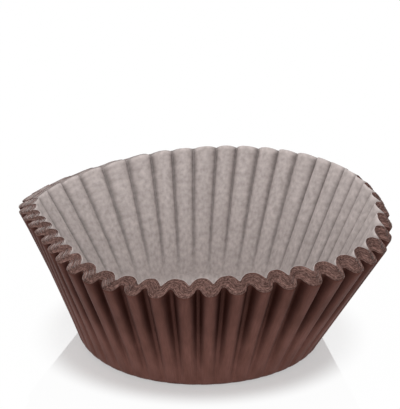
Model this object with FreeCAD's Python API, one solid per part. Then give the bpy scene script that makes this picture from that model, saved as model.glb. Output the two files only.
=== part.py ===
"""A pleated paper cupcake liner that stands on its flat bottom, with its mouth up.

It is a tight nest of equal paper sheets, pressed into each other, so it is one solid:
the outermost sheet is its outside, the innermost sheet is its inside, and the paper
edges between them are the band along the rim. Every pleat is folded from flat facets
that meet at creases, and the pleats die out where the wall rounds into the bottom.
"""

import FreeCAD, Part
import math
import os

# Sizes of one sheet, in millimetres
base_diameter = 50.8
rim_diameter = 78.6
wall_length = 30.0
corner_radius = 2.4

# Pleats: their number, the depth of a groove at the rim on the outermost and on the
# innermost sheet, the part of the pitch that a panel bulges over, how flat the panel's
# middle is, where 2 would be a parabola, and how fast the depth fades to the bottom
pleat_count = 46
pleat_depth = 2.2
inner_pleat_depth = 1.7
panel_share = 0.8
panel_flatness = 2.6
depth_fade = 0.9
first_crest = -4.6

# How far the innermost sheet stands above the outermost one and inside it, and how
# far its rim has slid over to the right and risen there
nest_rise = 1.75
nest_inset = 2.4
nest_slide = 0.7
nest_tilt = 0.9

# How far the soft rim has gone out of round, and towards which side, in degrees
rim_lean = 0.65
rim_tilt = 1.45
rim_oval = 2.1
rim_oval_side = 45.0
rim_trefoil = 1.3
rim_trefoil_side = -11.4
rim_square = 1.3
rim_square_side = -34.7

# The part of the pleats' depth that is pressed out of them, and towards which side
rim_press = 0.45
rim_press_side = -95.0

# Creases, as shares of the way from a wide panel's middle to its side, and bands of
# facets up the wall and round its corner
panel_creases = [0, 0.55, 0.8, 1]
wall_bands = 3
corner_bands = 2

base_radius = base_diameter / 2
pitch = 2 * math.pi / pleat_count
creases = 2 * len(panel_creases)
outside = 0
inside = 1


def lobes(size, count, side, azimuth):
    """One term of the rim's outline: count lobes of a size, the first one at a side."""
    return size * math.cos(count * (azimuth - math.radians(side)))


def rim_radius(azimuth):
    """The distance from the axis to a pleat's crest, at the edge of the outermost sheet."""
    radius = rim_diameter / 2 + rim_lean * math.sin(azimuth)
    radius += lobes(rim_oval, 2, rim_oval_side, azimuth)
    radius += lobes(rim_trefoil, 3, rim_trefoil_side, azimuth)
    radius += lobes(rim_square, 4, rim_square_side, azimuth)
    return radius


def pressed(azimuth):
    """The part of a pleat's depth that is left there: the rim is pressed at one side."""
    nearness = (1 + math.cos(azimuth - math.radians(rim_press_side))) / 2
    return 1 - rim_press * nearness ** 6


def place(azimuth, radius, height):
    """A point in space. Azimuth 0 is the front, at -Y, and it grows towards +X."""
    return FreeCAD.Vector(radius * math.sin(azimuth), -radius * math.cos(azimuth), height)


def lean(azimuth, drop):
    """How far the wall leans out from upright, where it lies drop inside a crest."""
    spread = rim_radius(azimuth) - drop - base_radius
    return math.asin(spread / wall_length)


def wall_point(azimuth, drop, share, sheet):
    """A point of a sheet's wall, a share of its length up from the bottom.

    Every line up the wall is equally long, so the paper's edge stands lower at a
    crest, which leans out more, than in a groove.
    """
    angle = lean(azimuth, drop * share ** (depth_fade - 1))
    up = wall_length * share
    radius = base_radius - nest_inset * sheet + up * math.sin(angle)
    height = nest_rise * sheet + up * math.cos(angle)
    height += (rim_tilt + nest_tilt * sheet) * share * math.sin(azimuth)
    return place(azimuth, radius, height) + FreeCAD.Vector(nest_slide * sheet * share, 0, 0)


def corner_point(azimuth, drop, share, sheet):
    """A point of the rounded corner, a share of its turn from the flat bottom."""
    turn = math.pi / 2 - lean(azimuth, drop)
    flat_radius = base_radius - nest_inset * sheet - corner_radius * math.tan(turn / 2)
    radius = flat_radius + corner_radius * math.sin(turn * share)
    height = nest_rise * sheet + corner_radius * (1 - math.cos(turn * share))
    return place(azimuth, radius, height)


def fold_drop(across, sheet):
    """How far the paper lies inside a crest, across pleat pitches away from it.

    The panel and the groove are rounded alike and meet with one slope. Paper that is
    wrapped round the outside of a bend bends wider than paper inside it, so panels are
    wide on the outermost sheet and narrow, with shallower pleats, on the innermost one.
    """
    across = min(across, 1 - across)
    panel = panel_share if sheet == outside else 1 - panel_share
    depth = pleat_depth if sheet == outside else inner_pleat_depth
    groove = 1 - panel
    if across < panel / 2:
        return depth * panel * (across / (panel / 2)) ** panel_flatness
    return depth * (1 - groove * ((0.5 - across) / (groove / 2)) ** panel_flatness)


def crease_places(sheet):
    """Where the creases of one pleat lie, in pitches from its crest.

    A groove of the innermost sheet is as wide as a panel of the outermost one, so
    its creases are the same ones, counted from the groove.
    """
    half = [panel_share / 2 * share for share in panel_creases] + [0.5]
    if sheet == inside:
        half = [0.5 - place for place in reversed(half)]
    return half + [1 - place for place in half[-2:0:-1]]


def ring(point, share, sheet):
    """The creases' points round the liner, at one share of the wall or the corner."""
    points = []
    for pleat in range(pleat_count):
        crest = math.radians(first_crest) + pleat * pitch
        for across in crease_places(sheet):
            azimuth = crest + across * pitch
            drop = fold_drop(across, sheet) * pressed(azimuth)
            points.append(point(azimuth, drop, share, sheet))
    return points


def facet(corners):
    """A flat piece of paper surface between its corners."""
    return Part.Face(Part.makePolygon(corners + corners[:1]))


def band(lower, upper):
    """Facets from one ring to the next, with diagonals that mirror about each crest."""
    facets = []
    for i, low_a in enumerate(lower):
        j = (i + 1) % len(lower)
        low_b, high_a, high_b = lower[j], upper[i], upper[j]
        if i % creases < creases / 2:
            facets += [facet([low_a, low_b, high_b]), facet([low_a, high_b, high_a])]
        else:
            facets += [facet([low_a, low_b, high_a]), facet([low_b, high_b, high_a])]
    return facets


def sheet_rings(sheet):
    """One sheet's rings, from the flat bottom up to its edge at the rim."""
    rings = [ring(corner_point, step / corner_bands, sheet) for step in range(corner_bands + 1)]
    rings += [ring(wall_point, step / wall_bands, sheet) for step in range(1, wall_bands + 1)]
    return rings


def liner():
    """The nest as one solid: up the outside, over the rim, and down the inside."""
    rings = sheet_rings(outside) + sheet_rings(inside)[::-1]
    facets = [facet(rings[0]), facet(rings[-1])]
    for lower, upper in zip(rings, rings[1:]):
        facets += band(lower, upper)
    skin = Part.makeCompound(facets)
    skin.sewShape()
    return Part.Solid(skin.Shells[0])


os.makedirs("parts", exist_ok=True)
liner().exportStep("parts/liner.step")
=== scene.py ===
"""A pleated paper cupcake liner: a tight nest of equal sheets, brown outside and pale inside."""

import math
import random

import bpy
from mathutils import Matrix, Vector


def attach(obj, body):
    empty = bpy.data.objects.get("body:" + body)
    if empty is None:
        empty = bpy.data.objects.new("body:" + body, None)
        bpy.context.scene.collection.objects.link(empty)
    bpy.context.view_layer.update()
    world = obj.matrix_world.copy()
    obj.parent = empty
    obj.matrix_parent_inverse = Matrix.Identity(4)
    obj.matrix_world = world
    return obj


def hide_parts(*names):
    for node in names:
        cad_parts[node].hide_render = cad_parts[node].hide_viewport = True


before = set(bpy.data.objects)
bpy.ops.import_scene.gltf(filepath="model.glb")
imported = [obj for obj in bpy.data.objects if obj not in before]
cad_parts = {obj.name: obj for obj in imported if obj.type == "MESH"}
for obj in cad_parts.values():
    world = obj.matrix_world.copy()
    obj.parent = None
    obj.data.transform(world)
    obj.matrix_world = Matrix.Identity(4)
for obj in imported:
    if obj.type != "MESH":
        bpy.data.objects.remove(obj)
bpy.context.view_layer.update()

random.seed(46)
MM = 0.001
WHITE = (1.0, 1.0, 1.0)

# Sizes of one sheet, in millimetres
BASE_RADIUS = 25.4
RIM_RADIUS = 39.3
WALL_LENGTH = 30.0
CORNER_RADIUS = 2.4
PAPER = 0.093

# Pleats: their number, where the first crest is, and the depth of a groove at the rim
# on the outermost and on the innermost sheet
PLEATS = 46
FIRST_CREST = math.radians(-4.6)
DEPTH_OUTSIDE = 2.2
DEPTH_INSIDE = 1.7

# The part of that depth that is left at the foot of the wall, and how it grows from
# there, where 1 would be evenly
DEPTH_AT_FOOT = 0.02
DEPTH_GROWTH = 0.95

# The part of one pitch that a panel bulges over, on the outermost and the innermost sheet
PANEL_OUTSIDE = 0.80
PANEL_INSIDE = 0.09

# How flat a panel's middle is, where 2 is a parabola. On the outermost sheet it goes from
# FLAT_AT_RIM at the edge to FLAT_BELOW within a share of the wall, and panels at the left
# and right are flatter by FLAT_SIDES. On the innermost sheet it is the same all over.
FLAT_AT_RIM = 2.7
FLAT_BELOW = 3.4
FLAT_CHANGE = 0.16
FLAT_SIDES = 1.6
FLAT_INSIDE = 2.6

# How far the innermost sheet stands above the outermost one, and inside it, and how
# far its rim has slid over to the right and risen there
NEST_RISE = 1.75
NEST_INSET = 2.4
NEST_SLIDE = 0.7
NEST_TILT = 0.9

# How far the innermost sheet's edge dips at the back, where a crest meets it, and the
# share of the wall from which it does
BACK_DIP = 0.5
BACK_DIP_FROM = 0.75

# How far the soft rim has gone out of round, and towards which side
RIM_LEAN = 0.65
RIM_TILT = 1.45
RIM_OVAL, RIM_OVAL_SIDE = 2.1, math.radians(45.0)
RIM_TREFOIL, RIM_TREFOIL_SIDE = 1.3, math.radians(-11.4)
RIM_SQUARE, RIM_SQUARE_SIDE = 1.3, math.radians(-34.7)

# The part of the pleats' depth that is pressed out of them, towards which side, and how
# closely it keeps to that side
RIM_PRESS, RIM_PRESS_SIDE = 0.45, math.radians(-95.0)
RIM_PRESS_FOCUS = 6

# Rings of points up the corner and the wall, the share of the wall where its lowest ring
# lies, and steps across half a panel and half a groove, which crowd at a panel's side
CORNER_RINGS = 6
WALL_RINGS = 34
WALL_START = 0.062
PANEL_STEPS = 8
GROOVE_STEPS = 6
CROWDING = 0.75

# The sheets between the outer two, the share of the wall that they reach down from their
# edges, and the tones of those edges
EDGE_SHEETS = 23
EDGE_REACH = 0.10
EDGE_TONES = (0.75, 0.85, 0.95, 1.1)

# The paper's grain: how far it shifts from the outermost sheet to the innermost one, and
# the width of a pleat on the flat bottom, in millimetres
GRAIN_SHIFT = 9.0
GRAIN_PITCH = 5.0

# The painted shade in the folds outside, which stands in for the light there: the part of
# their depth that the light reaches, how much more at the left and right, what is left of
# it deeper down, the painted light that comes back on a groove's floor and between which
# depths, and over which share of the wall all this comes in
LIGHT_REACH = 0.14
LIGHT_REACH_SIDES = 0.28
LEAST_LIGHT = 0.13
GROOVE_LIGHT = 0.42
GROOVE_FLOOR = (0.72, 0.97)
SHADE_COMES_IN = (0.0, 0.75)

# How much darker the outside is under the rim, as painted shade, and over which share of the
# wall it darkens
RIM_PAINTED_SHADE = 0.32
RIM_DARKENS = (0.28, 0.83)

# The painted light inside: how much of its colour is lost to painted shade in a fold, between
# which depths, and over which share of the wall that comes in, and how much brighter the
# paper's edge is painted, as painted light, and where
FOLD_LOSS = 0.40
FOLD_DARKENS = (0.60, 0.05)
LOSS_COMES_IN = (0.0, 0.35)
EDGE_PAINTED_GLOW = 0.22
EDGE_BRIGHTENS = (0.965, 0.995)

# The floor's reach, its gap under the foot, and the gloss in it. Where it is seen directly,
# it whitens outwards in an oval, between two distances and by two shares of white.
FLOOR_REACH = 3.0
FLOOR_GAP = 0.05 * MM
FLOOR_GLOSS = 0.55
FLOOR_OVAL = (0.93, 1.0, 1.0)
FLOOR_WHITENS = (27 * MM, 35 * MM)
FLOOR_WHITE = (0.42, 0.97)

# Each pleat is a little narrower, wider, flatter or deeper than the next one
PLEAT_SHIFT = [random.uniform(-0.07, 0.07) for _ in range(PLEATS)]
PLEAT_GAIN = [random.uniform(0.86, 1.0) for _ in range(PLEATS)]
PANEL_GAIN = [random.uniform(-0.04, 0.04) for _ in range(PLEATS)]


def smooth(value, start, end):
    """From 0 at the start to 1 at the end, and level at both."""
    t = min(max((value - start) / (end - start), 0.0), 1.0)
    return t * t * (3 - 2 * t)


def rim_radius(azimuth):
    """The distance from the axis to a pleat's crest, at the edge of the outermost sheet."""
    radius = RIM_RADIUS + RIM_LEAN * math.sin(azimuth)
    radius += RIM_OVAL * math.cos(2 * (azimuth - RIM_OVAL_SIDE))
    radius += RIM_TREFOIL * math.cos(3 * (azimuth - RIM_TREFOIL_SIDE))
    radius += RIM_SQUARE * math.cos(4 * (azimuth - RIM_SQUARE_SIDE))
    return radius


def groove_depth(azimuth, share, sheet):
    """The depth of a groove, a share of the wall up from the bottom, pressed at one side."""
    nearness = (1 + math.cos(azimuth - RIM_PRESS_SIDE)) / 2
    depth = DEPTH_OUTSIDE + (DEPTH_INSIDE - DEPTH_OUTSIDE) * sheet
    growth = DEPTH_AT_FOOT + (1 - DEPTH_AT_FOOT) * share ** DEPTH_GROWTH
    return depth * (1 - RIM_PRESS * nearness ** RIM_PRESS_FOCUS) * growth


def fold(across, panel, share, sheet, azimuth):
    """How deep the paper lies below the crest, from 0 to 1, across pitches from it.

    The panel and the groove are rounded alike and meet with one slope.
    """
    across = abs(across)
    flatness = FLAT_AT_RIM + (FLAT_BELOW - FLAT_AT_RIM) * smooth(1 - share, 0.0, FLAT_CHANGE)
    flatness += FLAT_SIDES * math.sin(azimuth) ** 2
    flatness += (FLAT_INSIDE - flatness) * sheet
    if across < panel / 2:
        return panel * (across / (panel / 2)) ** flatness
    return 1 - (1 - panel) * ((0.5 - across) / (0.5 - panel / 2)) ** flatness


def places(panel):
    """Where points lie across one pleat, in pitches, closer together at a panel's side."""
    half_panel, half_groove = panel / 2, 0.5 - panel / 2
    side = [half_panel * (k / PANEL_STEPS) ** CROWDING for k in range(PANEL_STEPS + 1)]
    side += [0.5 - half_groove * (1 - k / GROOVE_STEPS) ** CROWDING for k in range(1, GROOVE_STEPS)]
    return [-x for x in side[:0:-1]] + side + [0.5]


def wall(azimuth, depth, share, sheet):
    """The radius and height of a point of the wall, a share of its length up.

    Every line up the wall is equally long, so the paper's edge stands lower at a
    crest, which leans out more, than in a groove.
    """
    up = WALL_LENGTH * share
    drop = depth * groove_depth(azimuth, share, sheet)
    spread = share * (rim_radius(azimuth) - BASE_RADIUS) - drop
    height = math.sqrt(up * up - spread * spread)
    height += (RIM_TILT + NEST_TILT * sheet) * share * math.sin(azimuth)
    back = smooth(-math.cos(azimuth), 0.0, 1.0) * smooth(share, BACK_DIP_FROM, 1.0)
    height -= BACK_DIP * sheet * back * (1 - depth)
    return BASE_RADIUS - NEST_INSET * sheet + spread, NEST_RISE * sheet + height


def corner(azimuth, depth, turned, sheet):
    """The radius and height of a point of the corner, a share of its turn from the flat."""
    turn = math.pi / 2 - math.asin((rim_radius(azimuth) - BASE_RADIUS) / WALL_LENGTH)
    radius = BASE_RADIUS - NEST_INSET * sheet - CORNER_RADIUS * math.tan(turn / 2)
    radius += CORNER_RADIUS * math.sin(turn * turned)
    radius -= depth * groove_depth(azimuth, WALL_START, sheet) * turned
    return radius, NEST_RISE * sheet + CORNER_RADIUS * (1 - math.cos(turn * turned))


def point(azimuth, radius, height, slide):
    """A point in metres. Azimuth 0 is the front, at -Y, and it grows towards +X."""
    x, y = radius * math.sin(azimuth) + slide, -radius * math.cos(azimuth)
    return x * MM, y * MM, height * MM


def brown_painted_shade(depth, share, azimuth):
    """Painted shade outside: the share of its colour kept, as little light gets into a deep fold."""
    reach = LIGHT_REACH + LIGHT_REACH_SIDES * math.sin(azimuth) ** 2
    painted_shade_and_tone = LEAST_LIGHT + (1 - LEAST_LIGHT) * math.exp(-depth / reach)
    # Painted light on a groove's floor
    painted_shade_and_tone += GROOVE_LIGHT * smooth(depth, *GROOVE_FLOOR)
    painted_shade_and_tone = 1 + (painted_shade_and_tone - 1) * smooth(share, *SHADE_COMES_IN)
    # Painted shade that darkens the outside under the rim
    return painted_shade_and_tone * (1 - RIM_PAINTED_SHADE * smooth(share, *RIM_DARKENS))


def pale_painted_shade_and_glow(depth, share, azimuth):
    """Painted light inside: how much of its colour it keeps, dim in a fold and bright at the edge."""
    painted_shade_and_tone = 1 - FOLD_LOSS * smooth(depth, *FOLD_DARKENS) * smooth(share, *LOSS_COMES_IN)
    return painted_shade_and_tone * (1 + EDGE_PAINTED_GLOW * smooth(share, *EDGE_BRIGHTENS))


class Ring:
    """Points round the liner, on one sheet and at one share of its wall's length.

    With turned, they lie on the corner instead, at that share of its turn from the flat.
    The sheet is 0 for the outermost one, 1 for the innermost one, and in between for the
    rest. Besides the points, a ring has their places along the paper, in pleats, and up
    it, in millimetres, and the part of its colour that the paper keeps at each point,
    which is painted shade and light on the outermost and innermost sheets and a tone of
    its own on the sheets between.
    """

    def __init__(self, sheet, share, turned=None, lift=None, painted_shade_and_tone=None):
        self.points, self.along, self.painted_shade_and_tone = [], [], []
        panel = PANEL_OUTSIDE + (PANEL_INSIDE - PANEL_OUTSIDE) * sheet
        for pleat in range(PLEATS):
            own_panel = panel + PANEL_GAIN[pleat] * (1 - sheet)
            for across in places(own_panel):
                next_shift = PLEAT_SHIFT[(pleat + (1 if across > 0 else -1)) % PLEATS]
                shift = PLEAT_SHIFT[pleat] * (1 - abs(across)) + next_shift * abs(across)
                along = pleat + across
                azimuth = FIRST_CREST + (along + shift * share) * 2 * math.pi / PLEATS
                depth = fold(across, own_panel, share, sheet, azimuth) * PLEAT_GAIN[pleat]
                if turned is None:
                    radius, height = wall(azimuth, depth, share, sheet)
                else:
                    radius, height = corner(azimuth, depth, turned, sheet)
                height += lift(azimuth) if lift else 0.0
                self.points.append(point(azimuth, radius, height, NEST_SLIDE * sheet * share))
                self.along.append(along)
                self.painted_shade_and_tone.append(painted_shade_and_tone(depth, share, azimuth) if painted_shade_and_tone else 1.0)
        self.up = WALL_LENGTH * share if turned is None else CORNER_RADIUS * (turned - 1)
        self.up += GRAIN_SHIFT * sheet

    def moved_in(self, distance):
        """The same ring, moved inwards by the paper's thickness, square to its folds."""
        moved = []
        after = self.points[1:] + self.points[:1]
        before = self.points[-1:] + self.points[:-1]
        for (x, y, z), (ax, ay, _), (bx, by, _) in zip(self.points, after, before):
            step = distance * MM / math.hypot(ax - bx, ay - by)
            moved.append((x - (ay - by) * step, y + (ax - bx) * step, z))
        self.points = moved
        return self


def add_object(name, data):
    """A new object in the scene."""
    item = bpy.data.objects.new(name, data)
    bpy.context.scene.collection.objects.link(item)
    return item


class Skin:
    """The faces of one piece, with their materials and their corners' places on the paper.

    Those places are pleats along the paper and millimetres up it.
    """

    def __init__(self):
        self.points, self.painted_shade_and_tone = [], []
        self.faces, self.materials, self.unfolded = [], [], []

    def add_face(self, corners, material, unfolded):
        self.faces.append(corners)
        self.materials.append(material)
        self.unfolded.append(unfolded)

    def add_strip(self, start, low, high, material):
        """Faces from one ring to the next, with the lower one's points from start on."""
        count = len(low.points)
        for i in range(count):
            j = (i + 1) % count
            wrap = PLEATS if j == 0 else 0
            corners = (start + i, start + j, start + count + j, start + count + i)
            self.add_face(corners, material, [
                (low.along[i], low.up),
                (low.along[j] + wrap, low.up),
                (high.along[j] + wrap, high.up),
                (high.along[i], high.up),
            ])

    def add_cap(self, start, count, material):
        """A flat face that closes a ring."""
        ring = self.points[start:start + count]
        unfolded = [(x / MM / GRAIN_PITCH, y / MM) for x, y, _ in ring]
        self.add_face(tuple(range(start, start + count)), material, unfolded)

    def add_rings(self, rings, materials, first_cap=None, last_cap=None):
        """A strip of one material between each two rings, and caps at their ends."""
        count, start = len(rings[0].points), len(self.points)
        for row, (low, high) in enumerate(zip(rings, rings[1:])):
            self.add_strip(start + row * count, low, high, materials[row])
        for ring in rings:
            self.points += ring.points
            self.painted_shade_and_tone += ring.painted_shade_and_tone
        if first_cap:
            self.add_cap(start, count, first_cap)
        if last_cap:
            self.add_cap(len(self.points) - count, count, last_cap)

    def finish(self, name):
        """The piece's object, which takes the solid's place in the frame."""
        mesh = bpy.data.meshes.new(name)
        mesh.from_pydata(self.points, [], self.faces)
        used = list(dict.fromkeys(self.materials))
        for material in used:
            mesh.materials.append(material)
        paper_map = mesh.uv_layers.new(name="paper")
        for face, material, unfolded in zip(mesh.polygons, self.materials, self.unfolded):
            face.material_index = used.index(material)
            face.use_smooth = len(unfolded) == 4
            for loop, place in zip(face.loop_indices, unfolded):
                paper_map.data[loop].uv = place
        # The part of its colour each point keeps: painted shade and light on the outer two sheets, and
        # their own tones on the rest
        mesh.attributes.new("painted_shade_and_tone", "FLOAT", "POINT").data.foreach_set("value", self.painted_shade_and_tone)
        piece = add_object(name, mesh)
        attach(piece, "root")
        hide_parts("liner")


def add_node(tree, kind, inputs=None, **settings):
    """A new shader node with its settings, and with its inputs set or linked."""
    node = tree.nodes.new("ShaderNode" + kind)
    for name, value in settings.items():
        setattr(node, name, value)
    for name, value in (inputs or {}).items():
        if isinstance(value, bpy.types.NodeSocket):
            tree.links.new(value, node.inputs[name])
        else:
            node.inputs[name].default_value = value
    return node


def shader(name, roughness, specular):
    """A new material, its node tree and its surface."""
    material = bpy.data.materials.new(name)
    material.use_nodes = True
    body = material.node_tree.nodes["Principled BSDF"]
    body.inputs["Roughness"].default_value = roughness
    body.inputs["Specular IOR Level"].default_value = specular
    return material, material.node_tree, body


def noise(tree, stretch, detail=4.0):
    """A noise on the paper, as fine as stretch says across and along a pleat."""
    paper = add_node(tree, "TexCoord").outputs["UV"]
    grain = add_node(tree, "Mapping", {"Vector": paper, "Scale": (*stretch, 1.0)}).outputs["Vector"]
    return add_node(tree, "TexNoise", {"Vector": grain, "Scale": 1.0, "Detail": detail}).outputs["Fac"]


def ramp(tree, value, start, end):
    """A colour that follows a value: start and end are each a value and its colour."""
    node = add_node(tree, "ValToRGB", {"Fac": value})
    for element, (position, colour) in zip(node.color_ramp.elements, (start, end)):
        element.position = position
        element.color = (*colour, 1.0)
    return node.outputs["Color"]


def grey(tone):
    return tone, tone, tone


def multiply(tree, first, second):
    """One colour times another, by the node's sockets 6 and 7 to its socket 2."""
    inputs = {"Factor": 1.0, 6: first, 7: second}
    return add_node(tree, "Mix", inputs, data_type="RGBA", blend_type="MULTIPLY").outputs[2]


def bump(tree, height, strength, distance):
    """A surface that is roughened by a height of 0 to 1, over a distance."""
    inputs = {"Height": height, "Strength": strength, "Distance": distance}
    return add_node(tree, "Bump", inputs).outputs["Normal"]


def painted_shade_and_tone_socket(tree):
    """How much of its colour the paper keeps: painted shade in its folds and under the rim,
    painted light at the inner edge, and the middle sheets' own tones.
    """
    return add_node(tree, "Attribute", attribute_name="painted_shade_and_tone").outputs["Fac"]


def brown_paper():
    """The printed outside: brown, with faint streaks up the wall and hardly any sheen."""
    material, tree, body = shader("brown_paper", roughness=0.6, specular=0.05)
    dark, light = (0.103, 0.043, 0.033), (0.147, 0.066, 0.054)
    colour = ramp(tree, noise(tree, (1.6, 0.14)), (0.30, dark), (0.70, light))
    streaks = ramp(tree, noise(tree, (14.0, 0.30)), (0.35, grey(0.84)), (0.65, WHITE))
    # Painted shade deep in a fold is redder, standing for light that has bounced off brown paper
    deep = (0.10, 0.02, 0.0)
    shade = ramp(tree, painted_shade_and_tone_socket(tree), (0.0, deep), (1.0, WHITE))
    colour = multiply(tree, multiply(tree, colour, streaks), shade)
    tree.links.new(colour, body.inputs["Base Color"])
    fibres = bump(tree, noise(tree, (20.0, 1.6)), strength=0.3, distance=0.04 * MM)
    tree.links.new(fibres, body.inputs["Normal"])
    return material


def pale_paper():
    """The unprinted inside: warm pale grey, with the soft mottling of baking paper."""
    material, tree, body = shader("pale_paper", roughness=0.55, specular=0.25)
    dark, light = (0.35, 0.305, 0.29), (0.51, 0.445, 0.428)
    colour = ramp(tree, noise(tree, (5.0, 0.9), detail=5.0), (0.30, dark), (0.70, light))
    clouds = ramp(tree, noise(tree, (1.3, 0.2)), (0.30, grey(0.88)), (0.70, WHITE))
    # The inside's painted shade in its folds and painted light at its edge
    colour = multiply(tree, multiply(tree, colour, clouds), painted_shade_and_tone_socket(tree))
    tree.links.new(colour, body.inputs["Base Color"])
    fibres = bump(tree, noise(tree, (9.0, 1.6), detail=5.0), strength=0.4, distance=0.06 * MM)
    tree.links.new(fibres, body.inputs["Normal"])
    return material


def cut_edge():
    """The cut edge of a sheet, where the pale inside of the paper shows."""
    material, tree, body = shader("cut_edge", roughness=0.7, specular=0.10)
    dark, light = (0.088, 0.045, 0.037), (0.32, 0.19, 0.163)
    colour = ramp(tree, noise(tree, (12.0, 3.0)), (0.42, dark), (0.68, light))
    # Painted shade from the folds beside the outermost sheet's edge, and the middle sheets' own tones
    tree.links.new(multiply(tree, colour, painted_shade_and_tone_socket(tree)), body.inputs["Base Color"])
    return material


def sheet_rings(sheet, painted_shade_and_tone):
    """A whole sheet's rings, from its flat bottom up to its edge."""
    turns = [k / CORNER_RINGS for k in range(CORNER_RINGS + 1)]
    shares = [WALL_START + (1 - WALL_START) * k / WALL_RINGS for k in range(WALL_RINGS + 1)]
    rings = [Ring(sheet, 0.0, turned=turned, painted_shade_and_tone=painted_shade_and_tone) for turned in turns]
    return rings + [Ring(sheet, share, painted_shade_and_tone=painted_shade_and_tone) for share in shares]


def outer_sheet():
    """The outermost sheet, with its edge and a little of its inside face."""
    skin = Skin()
    rings = sheet_rings(0.0, brown_painted_shade)
    rings += [Ring(0.0, share).moved_in(PAPER) for share in (1.0, 1 - EDGE_REACH)]
    skin.add_rings(rings, [BROWN] * (len(rings) - 3) + [EDGE, PALE], first_cap=BROWN)
    skin.finish("outer_sheet")


def inner_sheet():
    """The innermost sheet, with its edge and a little of its outside face."""
    skin = Skin()
    rings = [Ring(1.0, share) for share in (1 - EDGE_REACH, 1.0)]
    rings += [ring.moved_in(PAPER) for ring in reversed(sheet_rings(1.0, pale_painted_shade_and_glow))]
    skin.add_rings(rings, [BROWN] + [PALE] * (len(rings) - 2), last_cap=PALE)
    skin.finish("inner_sheet")


def edge_rings(index):
    """One of the sheets between those: its edge sways a little and has its own tone."""
    sheet = (index + random.uniform(0.7, 1.3)) / (EDGE_SHEETS + 1)
    waves = random.randint(3, 12)
    phase = random.uniform(0, 2 * math.pi)
    offset = random.uniform(-0.10, 0.12)
    swing = random.uniform(0.03, 0.10)
    tone = random.choice(EDGE_TONES)

    def lift(azimuth):
        return offset + swing * math.sin(waves * azimuth + phase)

    def painted_shade_and_tone(depth, share, azimuth):
        return tone

    shares = (1 - EDGE_REACH, 1.0, 1.0, 1 - EDGE_REACH)
    rings = [Ring(sheet, share, lift=lift, painted_shade_and_tone=painted_shade_and_tone) for share in shares]
    return rings[:2] + [ring.moved_in(PAPER) for ring in rings[2:]]


def rim_sheets():
    """The sheets between the outermost and the innermost one, of which the edges show."""
    skin = Skin()
    for index in range(EDGE_SHEETS):
        skin.add_rings(edge_rings(index), [EDGE, EDGE, PALE])
    skin.finish("rim_sheets")


def mix_shaders(tree, share, first, second):
    """A mix of two shaders, with a share of the second one."""
    return add_node(tree, "MixShader", {"Fac": share, 1: first.outputs[0], 2: second.outputs[0]})


def seen_directly(tree):
    """1 where the camera, a reflection or a clear body shows it, and 0 for its light."""
    paths = add_node(tree, "LightPath")
    seen = paths.outputs["Is Camera Ray"]
    for kind in ("Is Glossy Ray", "Is Transmission Ray"):
        inputs = {0: seen, 1: paths.outputs[kind]}
        seen = add_node(tree, "Math", inputs, operation="MAXIMUM").outputs[0]
    return seen


def floor_whiteness(tree):
    """How much the floor is whitened, which grows outwards round the foot."""
    place = add_node(tree, "TexCoord").outputs["Object"]
    oval = add_node(tree, "Mapping", {"Vector": place, "Scale": FLOOR_OVAL}).outputs["Vector"]
    distance = add_node(tree, "VectorMath", {0: oval}, operation="LENGTH").outputs["Value"]
    inputs = {
        "Value": distance,
        "From Min": FLOOR_WHITENS[0],
        "From Max": FLOOR_WHITENS[1],
        "To Min": FLOOR_WHITE[0],
        "To Max": FLOOR_WHITE[1],
    }
    whiteness = add_node(tree, "MapRange", inputs, interpolation_type="SMOOTHSTEP").outputs["Result"]
    inputs = {0: whiteness, 1: seen_directly(tree)}
    return add_node(tree, "Math", inputs, operation="MULTIPLY").outputs[0]


def pale_floor():
    """Pale, with a clear mirror image that fades into white."""
    material, tree, body = shader("pale_floor", roughness=0.8, specular=0.0)
    body.inputs["Base Color"].default_value = (*grey(0.93), 1.0)
    gloss = add_node(tree, "BsdfGlossy", {"Color": (*WHITE, 1.0), "Roughness": 0.02})
    glossy = mix_shaders(tree, FLOOR_GLOSS, body, gloss)
    surface = mix_shaders(tree, floor_whiteness(tree), glossy, add_node(tree, "Emission"))
    tree.links.new(surface.outputs[0], tree.nodes["Material Output"].inputs["Surface"])
    return material


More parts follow.
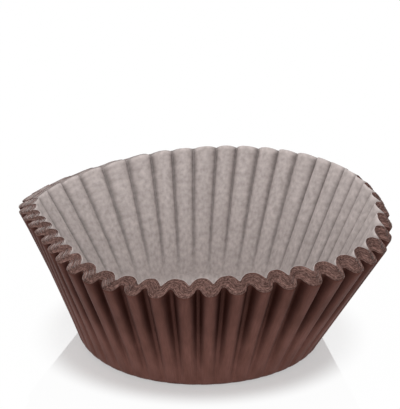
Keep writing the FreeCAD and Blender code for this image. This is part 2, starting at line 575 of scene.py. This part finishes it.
def floor():
    """A wide flat floor, a hair under the foot."""
    sides = ((-1, -1), (1, -1), (1, 1), (-1, 1))
    mesh = bpy.data.meshes.new("floor")
    mesh.from_pydata([(x * FLOOR_REACH, y * FLOOR_REACH, 0) for x, y in sides], [], [(0, 1, 2, 3)])
    mesh.materials.append(pale_floor())
    item = add_object("floor", mesh)
    item.location.z = -FLOOR_GAP


def studio():
    """Even light from all sides, in front of plain white."""
    world = bpy.data.worlds.new("studio")
    bpy.context.scene.world = world
    world.use_nodes = True
    tree = world.node_tree
    light = tree.nodes["Background"]
    light.inputs["Color"].default_value = (*WHITE, 1.0)
    light.inputs["Strength"].default_value = 0.95
    white = add_node(tree, "Background", {"Color": (*WHITE, 1.0), "Strength": 1.0})
    surface = mix_shaders(tree, seen_directly(tree), light, white)
    tree.links.new(surface.outputs[0], tree.nodes["World Output"].inputs["Surface"])


def aim(item, place, target):
    """Puts a lamp or a camera at a place and turns it towards a target."""
    item.location = place
    item.rotation_euler = (Vector(target) - Vector(place)).to_track_quat("-Z", "Y").to_euler()


def lamp(name, place, size, power):
    """A round soft light that faces the middle of the liner."""
    data = bpy.data.lights.new(name, "AREA")
    data.shape = "DISK"
    data.size = size
    data.energy = power
    aim(add_object(name, data), place, target=(0.0, 0.0, 15 * MM))


def camera(target, distance, elevation, lens):
    """A camera in front of the liner, which looks down at it."""
    data = bpy.data.cameras.new("camera")
    data.lens = lens
    data.sensor_width = 36.0
    item = add_object("camera", data)
    back = Vector((0.0, -math.cos(elevation), math.sin(elevation)))
    aim(item, Vector(target) + distance * back, target)
    bpy.context.scene.camera = item


BROWN, PALE, EDGE = brown_paper(), pale_paper(), cut_edge()
outer_sheet()
inner_sheet()
rim_sheets()

floor()
lamp("front_box", place=(-0.03, -0.70, 0.25), size=0.5, power=1.7)
lamp("top_box", place=(-0.20, -0.10, 0.75), size=0.4, power=1.0)
studio()
camera(target=(0.07 * MM, 0.0, 29.8 * MM), distance=0.5, elevation=math.radians(22.7), lens=210.0)
bpy.context.scene.view_settings.view_transform = "Standard"
